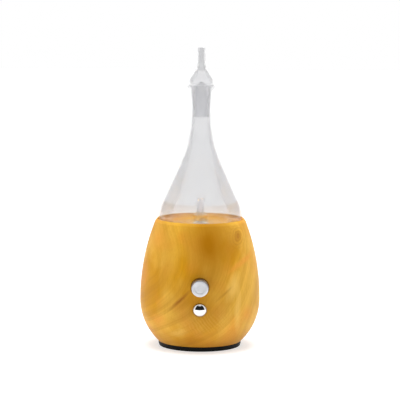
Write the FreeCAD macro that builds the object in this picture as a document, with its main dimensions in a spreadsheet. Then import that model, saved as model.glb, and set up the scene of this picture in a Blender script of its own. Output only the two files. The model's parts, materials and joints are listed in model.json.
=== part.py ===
"""Nebulising essential oil diffuser: a turned wood base that holds an air pump, its control
board and a light, under a blown glass flask with a lift-out glass stopper.

Row frame: millimetres, +Z up, the origin on the axis of the turning in the plane the foot
stands on, and the knob and the light button facing -Y.  Pieces that face the user are drawn
standing on +Z and laid over, so their local height is the distance from the axis.
"""

import FreeCAD, Part
import Sketcher

import math
import os
import re

from FreeCAD import Placement, Rotation, Vector

# ---------------------------------------------------------------- driving dimensions, in mm
DIMENSIONS = {
    # turned wood base
    "wood_radius": 52.5,
    "waist_height": 41.3,
    "foot_radius": 36.2,
    "foot_height": 4.0,
    "shoulder_radius": 39.7,
    "shoulder_height": 109.8,
    "rim_height": 112.0,
    "rim_radius": 38.0,
    "dish_radius": 37.4,
    "dish_floor": 108.0,
    "mouth_radius": 7.15,
    "hatch_radius": 30.0,
    "hatch_height": 12.0,
    "cavity_radius": 40.5,
    "cavity_low": 24.0,
    "cavity_high": 66.0,
    "ceiling_height": 97.0,
    "ceiling_radius": 27.0,
    # base plate and foot
    "pad_thickness": 1.2,
    "pad_radius": 35.7,
    "pad_bore": 29.2,
    "screw_circle": 32.7,
    "spigot_radius": 29.8,
    "spigot_height": 7.5,
    "vent_inner": 22.6,
    "vent_length": 4.4,
    "vent_width": 1.7,
    # blown glass flask
    "glass_radius": 36.8,
    "glass_wall": 1.6,
    "glass_bottom": 108.6,
    "glass_corner": 3.4,
    "side_height": 119.7,
    "side_round": 33.0,
    "neck_radius": 8.45,
    "neck_height": 182.0,
    "neck_round": 120.0,
    "neck_top": 211.0,
    "throat_radius": 9.2,
    "throat_height": 222.9,
    "lip_radius": 12.8,
    "lip_under": 227.2,
    "lip_height": 228.4,
    "lip_bore": 10.3,
    "socket_mouth": 8.16,
    "socket_top": 225.2,
    "throat_corner": 6.29,
    "throat_corner_height": 182.9,
    "stem_radius": 4.0,
    "stem_bore": 2.0,
    "stem_bottom": 96.0,
    # glass tubes inside the flask
    "sleeve_radius": 3.4,
    "sleeve_flare": 6.1,
    "sleeve_top": 129.4,
    "jet_radius": 1.9,
    "jet_top": 127.0,
    # glass stopper
    "plug_gap": 0.15,
    "plug_bottom": 201.0,
    "cap_radius": 11.2,
    "cap_floor": 1.35,
    "cap_shoulder": 234.0,
    "spout_foot": 245.2,
    "spout_radius": 3.15,
    "spout_bore": 1.8,
    "stopper_top": 261.2,
    "plug_top_bore": 6.75,
    # light guide, stem seal and lamp ring under the dish
    "guide_radius": 7.0,
    "guide_bore": 5.1,
    "seal_radius": 5.0,
    "seal_bore": 4.12,
    "seal_top": 108.6,
    "bracket_radius": 20.0,
    "bracket_bottom": 90.0,
    "barb_bottom": 80.0,
    # controls on the front
    "knob_height": 59.1,
    "knob_radius": 7.25,
    "knob_front": 59.3,
    "knob_back": 49.6,
    "recess_radius": 8.15,
    "recess_floor": 49.0,
    "web_depth": 44.0,
    "pocket_half_width": 15.5,
    "pocket_low": 28.0,
    "pocket_high": 69.5,
    "shaft_radius": 3.0,
    "button_height": 39.4,
    "button_radius": 5.85,
    "button_rim": 52.3,
    "button_dome": 55.3,
    "button_gap": 0.25,
    # control board
    "board_half_width": 17.0,
    "board_low": 27.5,
    "board_tall": 40.0,
    "board_back": 34.2,
    "board_front": 35.8,
    # air pump, standing upright
    "pump_offset": 6.0,
    "motor_radius": 12.2,
    "motor_low": 8.0,
    "motor_high": 38.0,
    "pump_radius": 13.5,
    "pump_bore": 10.4,
    "membrane_height": 53.0,
    "valve_height": 54.2,
    "cover_height": 57.2,
    "pump_top": 63.0,
    "hose_bore": 2.15,
    "hose_radius": 3.3,
    # power inlet on the back
    "inlet_height": 30.0,
    "inlet_recess": 6.2,
    "inlet_floor": 46.5,
    "inlet_web": 42.5,
    "inlet_radius": 4.0,
    "plug_socket_radius": 2.9,
}

SLOTS = 30  # vent slots round the base plate

doc = FreeCAD.newDocument("diffuser")
sheet = doc.addObject("Spreadsheet::Sheet", "Sizes")
for row, (alias, size) in enumerate(DIMENSIONS.items(), 1):
    sheet.set(f"A{row}", alias)
    sheet.set(f"B{row}", str(size))
    sheet.setAlias(f"B{row}", alias)
doc.recompute()

PARTS = []


# ---------------------------------------------------------------- helpers
def mm(size):
    """The value of an expression in the sheet's aliases."""
    return float(sheet.evalExpression(str(size)))


def bind(thing, name, size):
    """Ties a property or a named constraint of an object to an expression in the aliases."""
    linked = re.sub(
        r"[a-z][a-z_]*",
        lambda word: "Sizes." + word.group() if word.group() in DIMENSIONS else word.group(),
        str(size),
    )
    thing.setExpression(name, linked)


def place(thing, at=("0", "0", "0"), turn=None):
    """Puts a piece at a point given by three expressions, turned by a Rotation."""
    thing.Placement = Placement(Vector(*(mm(v) for v in at)), turn or Rotation())
    for axis, size in zip("xyz", at):
        if str(size) != "0":
            bind(thing, f"Placement.Base.{axis}", size)
    return thing


def publish(label, thing):
    """Names a finished sub-part, which gives its file its name."""
    thing.Label = label
    PARTS.append(thing)
    return thing


TO_FRONT = Rotation(Vector(1, 0, 0), 90)  # local +Z becomes -Y
TO_BACK = Rotation(Vector(1, 0, 0), -90)  # local +Z becomes +Y
TO_LEFT = Rotation(Vector(0, 1, 0), -90)  # local +Z becomes -X


def cylinder(radius, height, at=("0", "0", "0"), turn=None):
    piece = doc.addObject("Part::Cylinder", "Cylinder")
    bind(piece, "Radius", radius)
    bind(piece, "Height", height)
    return place(piece, at, turn)


def block(length, width, height, at, turn=None):
    """A box whose lowest corner is at the given point."""
    piece = doc.addObject("Part::Box", "Block")
    bind(piece, "Length", length)
    bind(piece, "Width", width)
    bind(piece, "Height", height)
    return place(piece, at, turn)


def hexagon(across_corners, height, at, turn=None):
    piece = doc.addObject("Part::Prism", "Hexagon")
    piece.Polygon = 6
    bind(piece, "Circumradius", f"{across_corners} / 2")
    bind(piece, "Height", height)
    return place(piece, at, turn)


def join(things):
    if len(things) == 1:
        return things[0]
    piece = doc.addObject("Part::MultiFuse", "Join")
    piece.Shapes = things
    return piece


def cut(base, *tools):
    piece = doc.addObject("Part::Cut", "Cut")
    piece.Base = base
    piece.Tool = join(list(tools))
    return piece


def group(things):
    """Separate solids that share one node."""
    piece = doc.addObject("Part::Compound", "Group")
    piece.Links = things
    return piece


def ring(count, radius, start=0.0):
    """(angle in degrees, x, y expressions) of points evenly spaced on a circle."""
    for i in range(count):
        angle = start + 360.0 * i / count
        x, y = math.cos(math.radians(angle)), math.sin(math.radians(angle))
        yield angle, f"({radius}) * {x:.9f}", f"({radius}) * {y:.9f}"


def arc_centre(start, end, radius):
    """Centre of the arc from start to end: on the left for a positive radius, else the right."""
    chord = end - start
    middle = (start + end) * 0.5
    reach = math.sqrt(max(radius * radius - chord.Length**2 / 4, 0.0))
    left = Vector(-chord.y, chord.x, 0).normalize()
    return middle + left * (reach if radius > 0 else -reach)


def add_arc(sketch, centre, start, end):
    """Adds the shorter arc, and returns its index and the point number of its start and end."""
    radius = (start - centre).Length
    first = math.atan2(start.y - centre.y, start.x - centre.x)
    last = math.atan2(end.y - centre.y, end.x - centre.x)
    forward = (last - first) % (2 * math.pi) < math.pi
    low, high = (first, last) if forward else (last, first)
    circle = Part.Circle(centre, Vector(0, 0, 1), radius)
    geo = sketch.addGeometry(Part.ArcOfCircle(circle, low, high if high > low else high + 2 * math.pi))
    return geo, (1, 2) if forward else (2, 1)


def pin_point(sketch, geo, point, x, z):
    """Fixes a point of a sketch at the expressions x and z."""
    for size, kind, axis in ((x, "DistanceX", -2), (z, "DistanceY", -1)):
        if str(size) == "0":
            sketch.addConstraint(Sketcher.Constraint("PointOnObject", geo, point, axis))
        else:
            number = sketch.addConstraint(
                Sketcher.Constraint(kind, -1, 1, geo, point, mm(size))
            )
            bind(sketch, f"Constraints[{number}]", size)


def draw(sketch, corners):
    """Draws a closed outline.  A corner is (x, z), (x, z, "round", radius) for a corner rounded
    by a tangent arc, or (x, z, "arc", radius) where the stretch after it is an arc whose centre
    is on its left, or on its right for a negative radius."""
    points = [Vector(mm(c[0]), mm(c[1]), 0) for c in corners]
    count = len(points)
    rounds = {}
    for i, corner in enumerate(corners):
        if len(corner) > 2 and corner[2] == "round":
            radius = mm(corner[3])
            before = (points[i - 1] - points[i]).normalize()
            after = (points[(i + 1) % count] - points[i]).normalize()
            half = before.getAngle(after) / 2
            reach = radius / math.tan(half)
            centre = points[i] + (before + after).normalize() * (radius / math.sin(half))
            rounds[i] = (points[i] + before * reach, points[i] + after * reach, centre)
    stretches = []
    for i, corner in enumerate(corners):
        j = (i + 1) % count
        start = rounds[i][1] if i in rounds else points[i]
        end = rounds[j][0] if j in rounds else points[j]
        if len(corner) > 2 and corner[2] == "arc":
            centre = arc_centre(start, end, mm(corner[3]))
            geo, ends = add_arc(sketch, centre, start, end)
            number = sketch.addConstraint(
                Sketcher.Constraint("Radius", geo, abs(mm(corner[3])))
            )
            bind(sketch, f"Constraints[{number}]", f"abs({corner[3]})")
        else:
            geo, ends = sketch.addGeometry(Part.LineSegment(start, end)), (1, 2)
        stretches.append((geo, ends))
    for i, corner in enumerate(corners):
        before, before_ends = stretches[i - 1]
        after, after_ends = stretches[i]
        if i in rounds:
            dot = sketch.addGeometry(Part.Point(points[i]), True)
            pin_point(sketch, dot, 1, corner[0], corner[1])
            sketch.addConstraint(Sketcher.Constraint("PointOnObject", dot, 1, before))
            sketch.addConstraint(Sketcher.Constraint("PointOnObject", dot, 1, after))
            arc, ends = add_arc(sketch, rounds[i][2], rounds[i][0], rounds[i][1])
            sketch.addConstraint(
                Sketcher.Constraint("Tangent", before, before_ends[1], arc, ends[0])
            )
            sketch.addConstraint(
                Sketcher.Constraint("Tangent", arc, ends[1], after, after_ends[0])
            )
            number = sketch.addConstraint(Sketcher.Constraint("Radius", arc, mm(corner[3])))
            bind(sketch, f"Constraints[{number}]", corner[3])
        else:
            sketch.addConstraint(
                Sketcher.Constraint("Coincident", before, before_ends[1], after, after_ends[0])
            )
            pin_point(sketch, after, after_ends[0], corner[0], corner[1])


def sketched_body(plane, corners):
    """A body with one sketch of a closed outline on one of its origin planes."""
    body = doc.addObject("PartDesign::Body", "Body")
    sketch = body.newObject("Sketcher::SketchObject", "Outline")
    role = [f for f in body.Origin.OriginFeatures if f.Role == plane][0]
    sketch.AttachmentSupport = [(role, "")]
    sketch.MapMode = "FlatFace"
    draw(sketch, corners)
    return body, sketch


def turned(corners, at=("0", "0", "0"), turn=None):
    """A solid of revolution about its own Z axis: corners are (radius, height)."""
    body, sketch = sketched_body("XZ_Plane", corners)
    feature = body.newObject("PartDesign::Revolution", "Revolution")
    feature.Profile = sketch
    feature.ReferenceAxis = (sketch, ["V_Axis"])
    feature.Angle = 360
    return place(body, at, turn)


def spoke(length, width, height, radius, angle, low, centre=("0", "0")):
    """A box that points away from a vertical axis, starting at the given radius and height."""
    x, y = math.cos(math.radians(angle)), math.sin(math.radians(angle))
    at = (
        f"{centre[0]} + ({radius}) * {x:.9f} + ({width}) / 2 * {y:.9f}",
        f"{centre[1]} + ({radius}) * {y:.9f} - ({width}) / 2 * {x:.9f}",
        low,
    )
    return block(length, width, height, at, Rotation(Vector(0, 0, 1), angle))


def tube(outer, bore, low, high, at=("0", "0")):
    """A plain tube standing between two heights."""
    return cut(
        cylinder(outer, f"({high}) - ({low})", (at[0], at[1], low)),
        cylinder(bore, f"({high}) - ({low}) + 2", (at[0], at[1], f"({low}) - 1")),
    )


def screw(head_radius, head, shank_radius, length, at, turn=None):
    """A screw whose head's underside is at the point, with the shank along +Z and a slot."""
    body = turned(
        [
            ("0", f"-({head})"),
            (f"{head_radius} * 0.8", f"-({head})"),
            (head_radius, f"-({head}) * 0.55"),
            (head_radius, "0"),
            (shank_radius, "0"),
            (shank_radius, f"{length} - 2"),
            ("0", length),
        ],
        at,
        turn,
    )
    return body


def rounded_path(points, bend):
    """Straight runs joined by tangent arcs through a list of points."""
    edges = []
    start = points[0]
    for before, here, after in zip(points, points[1:], points[2:]):
        back = (before - here).normalize()
        ahead = (after - here).normalize()
        half = back.getAngle(ahead) / 2
        reach = min(
            bend / math.tan(half), 0.45 * min((before - here).Length, (after - here).Length)
        )
        radius = reach * math.tan(half)
        middle = here + (back + ahead).normalize() * (radius / math.sin(half) - radius)
        enter, leave = here + back * reach, here + ahead * reach
        edges.append(Part.LineSegment(start, enter).toShape())
        edges.append(Part.Arc(enter, middle, leave).toShape())
        start = leave
    edges.append(Part.LineSegment(start, points[-1]).toShape())
    return Part.Wire(edges)


def swept(points, radius, bend, bore=0.0):
    """A round cord or hose along a path, as a Part shape."""
    path = rounded_path(points, bend)
    along = (points[1] - points[0]).normalize()
    solids = []
    for size in (radius, bore):
        if size:
            rim = Part.Wire(Part.Circle(points[0], along, size).toShape())
            solids.append(path.makePipeShell([rim], True, True))
    shape = solids[0] if len(solids) == 1 else solids[0].cut(solids[1])
    expected = math.pi * (radius**2 - bore**2) * path.Length
    if abs(shape.Volume - expected) > 0.02 * expected:
        raise RuntimeError(f"a swept piece has volume {shape.Volume}, not {expected}")
    return shape


def shaped(shape):
    piece = doc.addObject("Part::Feature", "Shape")
    piece.Shape = shape
    return piece


# ---------------------------------------------------------------- wood base
def wood_housing():
    foot_arc = (
        "((wood_radius - foot_radius)^2 + (waist_height - foot_height)^2)"
        " / (2 * (wood_radius - foot_radius))"
    )
    side_arc = (
        "((wood_radius - shoulder_radius)^2 + (shoulder_height - waist_height)^2)"
        " / (2 * (wood_radius - shoulder_radius))"
    )
    blank = turned(
        [
            ("foot_radius", "foot_height", "arc", foot_arc),
            ("wood_radius", "waist_height", "arc", side_arc),
            ("shoulder_radius", "shoulder_height"),
            ("rim_radius", "rim_height"),
            ("dish_radius", "rim_height - 0.3"),
            ("dish_radius - 0.9", "dish_floor", "round", "1.2"),
            ("mouth_radius", "dish_floor"),
            ("mouth_radius", "ceiling_height"),
            ("ceiling_radius", "ceiling_height", "round", "6"),
            ("cavity_radius", "cavity_high", "round", "20"),
            ("cavity_radius", "cavity_low", "round", "12"),
            ("hatch_radius", "hatch_height"),
            ("hatch_radius", "foot_height"),
        ]
    )
    knob_recess = cylinder("recess_radius", "10", ("0", "-recess_floor", "knob_height"), TO_FRONT)
    bush_hole = cylinder("3.6", "10", ("0", "-(web_depth - 2)", "knob_height"), TO_FRONT)
    button_hole = cylinder(
        "button_radius + button_gap", "14", ("0", "-(web_depth - 2)", "button_height"), TO_FRONT
    )
    pocket = block(
        "2 * pocket_half_width",
        "8",
        "pocket_high - pocket_low",
        ("-pocket_half_width", "-web_depth", "pocket_low"),
    )
    inlet_recess = cylinder("inlet_recess", "8", ("0", "inlet_floor", "inlet_height"), TO_BACK)
    inlet_hole = cylinder(
        "inlet_radius + 0.1", "8", ("0", "inlet_web - 2", "inlet_height"), TO_BACK
    )
    inlet_seat = cylinder("8.5", "8", ("0", "inlet_web - 8", "inlet_height"), TO_BACK)
    tools = [knob_recess, bush_hole, button_hole, pocket, inlet_recess, inlet_hole, inlet_seat]
    for _, x, y in ring(3, "screw_circle", 30):
        tools.append(cylinder("1.35", "9.6", (x, y, "foot_height - 0.5")))
    for _, x, y in ring(3, "17.6", 90):
        tools.append(cylinder("1.05", "7", (x, y, "ceiling_height - 0.5")))
    for x, z in board_posts():
        tools.append(cylinder("1.05", "3.4", (x, "-(web_depth - 0.1)", z), TO_FRONT))
    return publish("wood_housing", cut(blank, *tools))


def board_posts():
    """Where the control board's four screws stand."""
    return [(x, z) for x in ("-12.3", "12.3") for z in ("31.4", "63.8")]


# ---------------------------------------------------------------- base plate, foot and screws
def base_plate():
    disc = turned(
        [
            ("0", "pad_thickness"),
            ("foot_radius - 0.5", "pad_thickness"),
            ("foot_radius", "pad_thickness + 0.5"),
            ("foot_radius", "foot_height"),
            ("spigot_radius", "foot_height"),
            ("spigot_radius", "spigot_height"),
            ("spigot_radius - 1.6", "spigot_height"),
            ("spigot_radius - 1.6", "foot_height"),
            ("0", "foot_height"),
        ]
    )
    tools = [
        spoke("vent_length", "vent_width", "6", "vent_inner", 360 * i / SLOTS, "0")
        for i in range(SLOTS)
    ]
    for _, x, y in ring(3, "screw_circle", 30):
        tools.append(cylinder("1.6", "6", (x, y, "0.5")))
        tools.append(cylinder("2.5", "1.8", (x, y, "pad_thickness - 0.2")))
    return publish("base_plate", cut(disc, *tools))


def foot_ring():
    pad = turned(
        [
            ("pad_bore", "0"),
            ("pad_radius - 0.3", "0"),
            ("pad_radius", "0.3"),
            ("pad_radius", "pad_thickness"),
            ("pad_bore", "pad_thickness"),
        ]
    )
    tools = [cylinder("2.5", "3", (x, y, "-1")) for _, x, y in ring(3, "screw_circle", 30)]
    tools += [spoke("10", "5", "3", "pad_bore - 1", angle, "-1") for angle in (60, 90, 120)]
    return publish("foot_ring", cut(pad, *tools))


def base_screws():
    screws = [
        screw("2.35", "1.5", "1.3", "9.6", (x, y, "pad_thickness + 1.6"))
        for _, x, y in ring(3, "screw_circle", 30)
    ]
    return publish("base_screws", group(screws))


# ---------------------------------------------------------------- stem seal and lamp ring
def light_guide():
    return publish(
        "light_guide",
        turned(
            [
                ("guide_bore", "ceiling_height - 1.5"),
                ("12", "ceiling_height - 1.5"),
                ("12", "ceiling_height"),
                ("guide_radius", "ceiling_height"),
                ("guide_radius", "dish_floor"),
                ("guide_bore", "dish_floor"),
            ]
        ),
    )


def stem_seal():
    return publish(
        "stem_seal",
        turned(
            [
                ("0.9", "barb_bottom"),
                ("1.8", "barb_bottom"),
                ("2.1", "barb_bottom + 2"),
                ("1.8", "barb_bottom + 2.4"),
                ("1.8", "bracket_bottom - 1.4"),
                ("4.6", "bracket_bottom"),
                ("4.6", "bracket_bottom + 2.4"),
                ("6.9", "bracket_bottom + 2.4"),
                ("6.9", "bracket_bottom + 4"),
                ("seal_radius", "bracket_bottom + 4"),
                ("seal_radius", "dish_floor"),
                ("seal_radius + 0.8", "dish_floor"),
                ("seal_radius + 0.8", "seal_top"),
                ("seal_bore + 0.3", "seal_top"),
                ("seal_bore", "seal_top - 0.3"),
                ("seal_bore", "stem_bottom - 0.5"),
                ("0.9", "stem_bottom - 3"),
            ]
        ),
    )


def lamp_ring():
    board = publish("lamp_board", tube("15.6", "7.0", "bracket_bottom + 2.4", "bracket_bottom + 4"))
    lamps = [
        spoke("3.4", "2.8", "1.3", "7.9", 60 * i + 30, "bracket_bottom + 4") for i in range(6)
    ]
    publish("led_lamps", group(lamps))
    return board


def socket_bracket():
    cup = turned(
        [
            ("4.7", "bracket_bottom"),
            ("bracket_radius", "bracket_bottom"),
            ("bracket_radius", "ceiling_height"),
            ("15.8", "ceiling_height"),
            ("15.8", "bracket_bottom + 2.4"),
            ("4.7", "bracket_bottom + 2.4"),
        ]
    )
    tools = [cylinder("1.15", "10", (x, y, "bracket_bottom - 1")) for _, x, y in ring(3, "17.6", 90)]
    tools.append(
        block("3.8", "9.5", "2.6", ("-1.9", "-(bracket_radius + 2)", "bracket_bottom - 0.2"))
    )
    publish("socket_bracket", cut(cup, *tools))
    screws = [
        screw("2.1", "1.4", "1.0", "12", (x, y, "bracket_bottom")) for _, x, y in ring(3, "17.6", 90)
    ]
    publish("bracket_screws", group(screws))


# ---------------------------------------------------------------- air pump
PUMP = ("0", "pump_offset", "0")


def pump_mounts():
    cup = turned(
        [
            ("0", "foot_height"),
            ("15.2", "foot_height"),
            ("15.2", "24"),
            ("motor_radius + 0.1", "24"),
            ("motor_radius + 0.1", "motor_low"),
            ("9.5", "motor_low"),
            ("9.5", "foot_height + 1.3"),
            ("0", "foot_height + 1.3"),
        ],
        PUMP,
    )
    notches = [
        block("3", "14", "2.6", (f"{x} - 1.5", "pump_offset - 17", "foot_height + 1.3"))
        for x in ("-5", "5")
    ]
    publish("pump_boot", cut(cup, *notches))
    publish(
        "pump_jacket", tube("17.4", "pump_radius + 0.1", "27", "55.5", ("0", "pump_offset"))
    )


def motor():
    publish(
        "motor_can",
        turned(
            [
                ("motor_radius", "motor_low"),
                ("motor_radius", "motor_high", "round", "1.5"),
                ("5", "motor_high"),
                ("5", "motor_high + 2"),
                ("2.6", "motor_high + 2"),
                ("2.6", "motor_high - 1"),
                ("motor_radius - 1", "motor_high - 1"),
                ("motor_radius - 1", "motor_low"),
            ],
            PUMP,
        ),
    )
    cap = turned(
        [
            ("2.6", "motor_low"),
            ("motor_radius - 1.05", "motor_low"),
            ("motor_radius - 1.05", "motor_low + 2.5"),
            ("2.6", "motor_low + 2.5"),
        ],
        PUMP,
    )
    slots = [
        block("1.2", "3.2", "5", (f"{x} - 0.6", "pump_offset - 1.6", "motor_low - 1"))
        for x in ("-5", "5")
    ]
    publish("motor_end_cap", cut(cap, *slots))
    tabs = [
        block("0.6", "2.8", "7", (f"{x} - 0.3", "pump_offset - 1.4", "foot_height + 1.8"))
        for x in ("-5", "5")
    ]
    publish("motor_terminals", group(tabs))
    brushes = [
        block("0.55", "1.6", "2.8", (x, "pump_offset - 0.8", "motor_low + 2.5"))
        for x in ("2.53", "-3.08")
    ]
    publish("motor_brushes", group(brushes))
    bushes = [
        tube("2.55", "1.03", low, high, ("0", "pump_offset"))
        for low, high in (("motor_low + 0.2", "motor_low + 2.4"), ("motor_high - 0.8", "motor_high + 1.9"))
    ]
    publish("motor_bushes", group(bushes))
    shell = tube("motor_radius - 1.05", "8.6", "motor_low + 7", "motor_high - 3", ("0", "pump_offset"))
    gap = block("5", "30", "40", ("-2.5", "pump_offset - 15", "motor_low"))
    publish("motor_magnets", cut(shell, gap))


def motor_rotor():
    """Everything that spins: shaft, armature, commutator, and the crank that rocks the pump."""
    publish("motor_shaft", cylinder("1", "39.4", ("0", "pump_offset", "motor_low - 1.6")))
    core = tube("7.9", "1", "motor_low + 8", "motor_high - 6", ("0", "pump_offset"))
    gaps = [
        spoke("6", "1.6", "30", "4.4", angle, "motor_low", ("0", "pump_offset"))
        for angle in (30, 150, 270)
    ]
    publish("armature_core", cut(core, *gaps))
    turns = [
        tube("6.8", "2.7", low, high, ("0", "pump_offset"))
        for low, high in (("motor_low + 5.6", "motor_low + 8"), ("motor_high - 6", "motor_high - 3.6"))
    ]
    publish("armature_windings", group(turns))
    publish(
        "commutator", tube("2.5", "1", "motor_low + 3", "motor_low + 7", ("0", "pump_offset"))
    )
    hub = turned(
        [
            ("1", "motor_high + 2.6"),
            ("5.6", "motor_high + 2.6"),
            ("5.6", "motor_high + 7.2", "round", "0.6"),
            ("1", "motor_high + 7.2"),
        ],
        PUMP,
    )
    tilt = Rotation(Vector(0, 1, 0), -14)
    foot = Vector(2.9, mm("pump_offset"), mm("motor_high") + 4.4)
    bore = cylinder("0.9", "6", turn=tilt)
    bore.Placement = Placement(foot, tilt)
    publish("eccentric_hub", cut(hub, bore))
    pin = cylinder("0.9", "7.4", turn=tilt)
    pin.Placement = Placement(foot, tilt)
    publish("crank_pin", pin)


def pump_head():
    case = turned(
        [
            ("5.1", "motor_high"),
            ("pump_radius", "motor_high"),
            ("pump_radius", "membrane_height"),
            ("pump_bore", "membrane_height"),
            ("pump_bore", "motor_high + 2.2"),
            ("5.1", "motor_high + 2.2"),
        ],
        PUMP,
    )
    posts = [(f"{x}", f"pump_offset + {y}") for _, x, y in ring(3, "11.9", 30)]
    case_holes = [cylinder("0.85", "13", (x, y, "membrane_height - 12")) for x, y in posts]
    intake = cylinder("1.1", "6", ("0", "pump_offset + 9", "46"), TO_BACK)
    publish("pump_case", cut(case, intake, *case_holes))
    hub = turned(
        [
            ("3.6", "47.6"),
            ("4.6", "47.6"),
            ("4.6", "51.8"),
            ("0", "51.8"),
            ("0", "50.8"),
            ("3.6", "50.8"),
        ],
        PUMP,
    )
    arms, nipple_holes = [], []
    for angle, x, y in ring(3, "6.8", 90):
        arms.append(cylinder("2.9", "1.6", (x, f"pump_offset + {y}", "50.2")))
        nipple_holes.append(cylinder("1.05", "6", (x, f"pump_offset + {y}", "48")))
    star = join([hub, *arms])
    bowl = cylinder("3.6", "3.2", ("0", "pump_offset", "47.6"))
    publish("wobble_plate", cut(star, bowl, *nipple_holes))
    disc = cylinder("pump_radius", "valve_height - membrane_height", ("0", "pump_offset", "membrane_height"))
    cups = [
        cylinder("3.1", "1.3", (x, f"pump_offset + {y}", "51.8")) for _, x, y in ring(3, "6.8", 90)
    ]
    nipples = [
        cylinder("1", "3.4", (x, f"pump_offset + {y}", "48.6")) for _, x, y in ring(3, "6.8", 90)
    ]
    holes = [cylinder("0.85", "4", (x, y, "membrane_height - 1")) for x, y in posts]
    domes = [
        cylinder("2.5", "2", (x, f"pump_offset + {y}", "52.4")) for _, x, y in ring(3, "6.8", 90)
    ]
    publish("pump_membrane", cut(join([disc, *cups, *nipples]), *holes, *domes))
    valves = cylinder("pump_radius", "cover_height - valve_height", ("0", "pump_offset", "valve_height"))
    ports = [cylinder("0.85", "6", (x, y, "valve_height - 1")) for x, y in posts]
    ports += [
        cylinder("0.7", "6", (x, f"pump_offset + {y}", "valve_height - 1"))
        for start in (70, 110)
        for _, x, y in ring(3, "6.8", start)
    ]
    publish("valve_plate", cut(valves, *ports))
    flaps = [
        cylinder("1.5", "0.4", (x, f"pump_offset + {y}", "cover_height")) for _, x, y in ring(3, "6.8", 110)
    ]
    publish("valve_flaps", group(flaps))
    cover = turned(
        [
            ("pump_radius", "cover_height"),
            ("pump_radius", "pump_top", "round", "0.8"),
            ("0", "pump_top"),
            ("0", "pump_top - 1.6"),
            ("pump_bore - 0.4", "pump_top - 1.6"),
            ("pump_bore - 0.4", "cover_height"),
        ],
        PUMP,
    )
    nozzle = turned(
        [
            ("0", "9"),
            ("2.6", "9"),
            ("2.6", "pump_radius + 0.6"),
            ("1.8", "pump_radius + 0.6"),
            ("1.8", "pump_radius + 5.4"),
            ("2.1", "pump_radius + 5.4"),
            ("1.5", "pump_radius + 7.2"),
            ("0", "pump_radius + 7.2"),
        ],
        ("0", "pump_offset", "cover_height + 3"),
        TO_LEFT,
    )
    duct = cylinder("0.8", "30", ("0", "pump_offset", "cover_height + 3"), TO_LEFT)
    inside = cylinder("pump_bore - 0.4", "4.2", ("0", "pump_offset", "cover_height"))
    cover_posts = [cylinder("0.85", "9", (x, y, "cover_height - 1")) for x, y in posts]
    publish("pump_cover", cut(join([cover, nozzle]), duct, inside, *cover_posts))
    screws = [
        screw("1.5", "1.1", "0.8", "19", (x, y, "pump_top"), Rotation(Vector(1, 0, 0), 180))
        for x, y in posts
    ]
    publish("pump_screws", group(screws))


def air_hose():
    """Silicone hose from the pump's nozzle round and up to the barb under the stem seal."""
    nozzle = mm("cover_height") + 3
    reach = mm("pump_radius")
    back = mm("pump_offset")
    points = [
        Vector(-reach - 0.8, back, nozzle),
        Vector(-reach - 14, back, nozzle),
        Vector(-reach - 11, back - 9, nozzle + 9.5),
        Vector(0, 0, nozzle + 9),
        Vector(0, 0, mm("barb_bottom") + 6),
    ]
    return publish("air_hose", shaped(swept(points, mm("hose_radius"), 8, mm("hose_bore"))))


# ---------------------------------------------------------------- controls on the front
def control_knob():
    axis = ("0", "0", "knob_height")
    cap = turned(
        [
            ("knob_radius", "knob_back"),
            ("knob_radius", "knob_front", "round", "0.9"),
            ("4.6", "knob_front"),
            ("4.3", "knob_front - 0.25"),
            ("0", "knob_front - 0.25"),
            ("0", "knob_front - 1.5"),
            ("knob_radius - 1", "knob_front - 1.5"),
            ("knob_radius - 1", "knob_back"),
        ],
        axis,
        TO_FRONT,
    )
    publish("knob_cap", cap)
    publish(
        "knob_core",
        turned(
            [
                ("knob_radius - 1.05", "knob_back + 0.3"),
                ("knob_radius - 1.05", "knob_front - 1.5"),
                ("0", "knob_front - 1.5"),
                ("0", "knob_front - 2.2"),
                ("shaft_radius", "knob_front - 2.2"),
                ("shaft_radius", "knob_back + 3.2"),
                ("5.45", "knob_back + 3.2"),
                ("5.45", "knob_back + 0.3"),
            ],
            axis,
            TO_FRONT,
        ),
    )
    publish(
        "pot_shaft",
        cylinder(
            "shaft_radius", "knob_front - 2.2 - 37.8", ("0", "-37.8", "knob_height"), TO_FRONT
        ),
    )


def potentiometer():
    axis = ("0", "0", "knob_height")
    publish(
        "pot_body",
        turned(
            [
                ("0", "board_front + 0.8"),
                ("8", "board_front + 0.8"),
                ("8", "web_depth"),
                ("3.5", "web_depth"),
                ("3.5", "recess_floor + 2.6"),
                ("shaft_radius + 0.05", "recess_floor + 2.6"),
                ("shaft_radius + 0.05", "37.6"),
                ("0", "37.6"),
            ],
            axis,
            TO_FRONT,
        ),
    )
    nut = hexagon("10.4", "1.9", ("0", "-recess_floor", "knob_height"), TO_FRONT)
    bore = cylinder("3.55", "4", ("0", "-(recess_floor - 1)", "knob_height"), TO_FRONT)
    publish("pot_nut", cut(nut, bore))
    terminals = []
    for x in ("-5", "0", "5"):
        corner = (f"{x} - 0.4", "-(board_front + 2)", "knob_height - 9.6")
        arm = block("0.8", "0.5", "4", corner)
        shell = cylinder("8", "8", ("0", "-(board_front + 0.8)", "knob_height"), TO_FRONT)
        terminals.append(join([block("0.8", "4.4", "0.5", corner), cut(arm, shell)]))
    publish("pot_terminals", group(terminals))


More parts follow.
